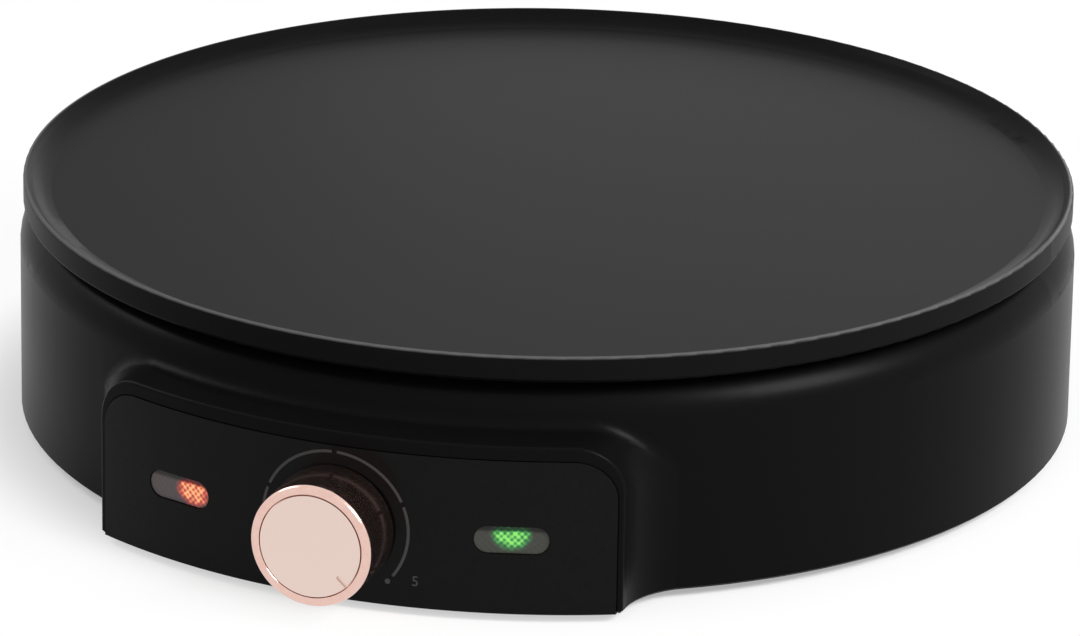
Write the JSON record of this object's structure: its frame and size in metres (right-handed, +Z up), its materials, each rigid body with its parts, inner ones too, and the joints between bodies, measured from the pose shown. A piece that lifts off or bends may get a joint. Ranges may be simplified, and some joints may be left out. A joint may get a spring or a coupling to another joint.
{
  "type": "electric crepe maker",
  "caption": "Electric crepe maker: round non-stick cooking plate with a raised rim on a low round housing, and a front pod with a thermostat knob and lamp windows.",
  "frame": {"origin": "centre of the bounding box's bottom face, on the worktop the feet stand on", "axes": "+Z up, -Y towards the user (control side), +X to the user's right"},
  "size_m": [0.322, 0.3584, 0.0753],
  "materials": {
    "nonstick_plate": "black non-stick coat",
    "housing_plastic": "fine moulded grain",
    "panel_plastic": "smooth satin black",
    "lens_plastic": "clear with ribs inside",
    "orange_lamp": "orange",
    "green_lamp": "green",
    "knob_plating": "rose-gold plated",
    "knob_face_plating": "rose-gold plated, satin",
    "steel": "plain",
    "aluminised_steel": "plain",
    "element_steel": "oxidised",
    "brass": "plain",
    "copper": "plain",
    "phenolic": "moulded",
    "inner_plastic": "moulded",
    "silicone": "matt",
    "foot_rubber": "matt",
    "base_plastic": "fine moulded grain",
    "gland_rubber": "matt",
    "live_insulation": "heat-proof sleeve, brown",
    "switched_insulation": "heat-proof sleeve, black",
    "neutral_insulation": "heat-proof sleeve, blue",
    "earth_insulation": "heat-proof sleeve, green and yellow",
    "lead_insulation": "heat-proof sleeve, natural"
  },
  "bodies": {
    "cooker": {"base_cover": "base_plastic", "base_screws": "steel", "bulb_clip": "steel", "capillary_tube": "copper", "clamp_screws": "steel", "control_panel": "panel_plastic", "cooking_plate": "nonstick_plate", "cord_clamp": "inner_plastic", "cord_gland": "gland_rubber", "earth_tag": "steel", "earth_wire": "earth_insulation", "heat_shield": "aluminised_steel", "heater_link_wire": "switched_insulation", "heater_pins": "steel", "heater_straps": "steel", "heating_element": "element_steel", "lamp_holders": "inner_plastic", "lamp_leads": "lead_insulation", "live_wire": "live_insulation", "neutral_wire": "neutral_insulation", "panel_screws": "steel", "plate_screws": "steel", "power_lamp": "orange_lamp", "power_lens": "lens_plastic", "ready_lamp": "green_lamp", "ready_lens": "lens_plastic", "rubber_feet": "foot_rubber", "sensing_bulb": "copper", "sensor_screws": "steel", "shield_bushings": "silicone", "strap_screws": "steel", "switched_wire": "switched_insulation", "terminal_block": "inner_plastic", "terminal_screws": "steel", "thermal_cutout": "phenolic", "thermostat_body": "phenolic", "thermostat_nut": "steel", "thermostat_tabs": "brass", "upper_housing": "housing_plastic"},
    "knob": {"knob": "knob_plating", "knob_face": "knob_face_plating", "knob_spring": "steel", "thermostat_shaft": "steel"}
  },
  "joints": [
    {"name": "knob_turn", "type": "hinge", "parent": "cooker", "child": "knob", "pos_m": [0, -0.16007, 0.0252], "axis": [0, -1, 0], "range_deg": [0, 266]}
  ]
}
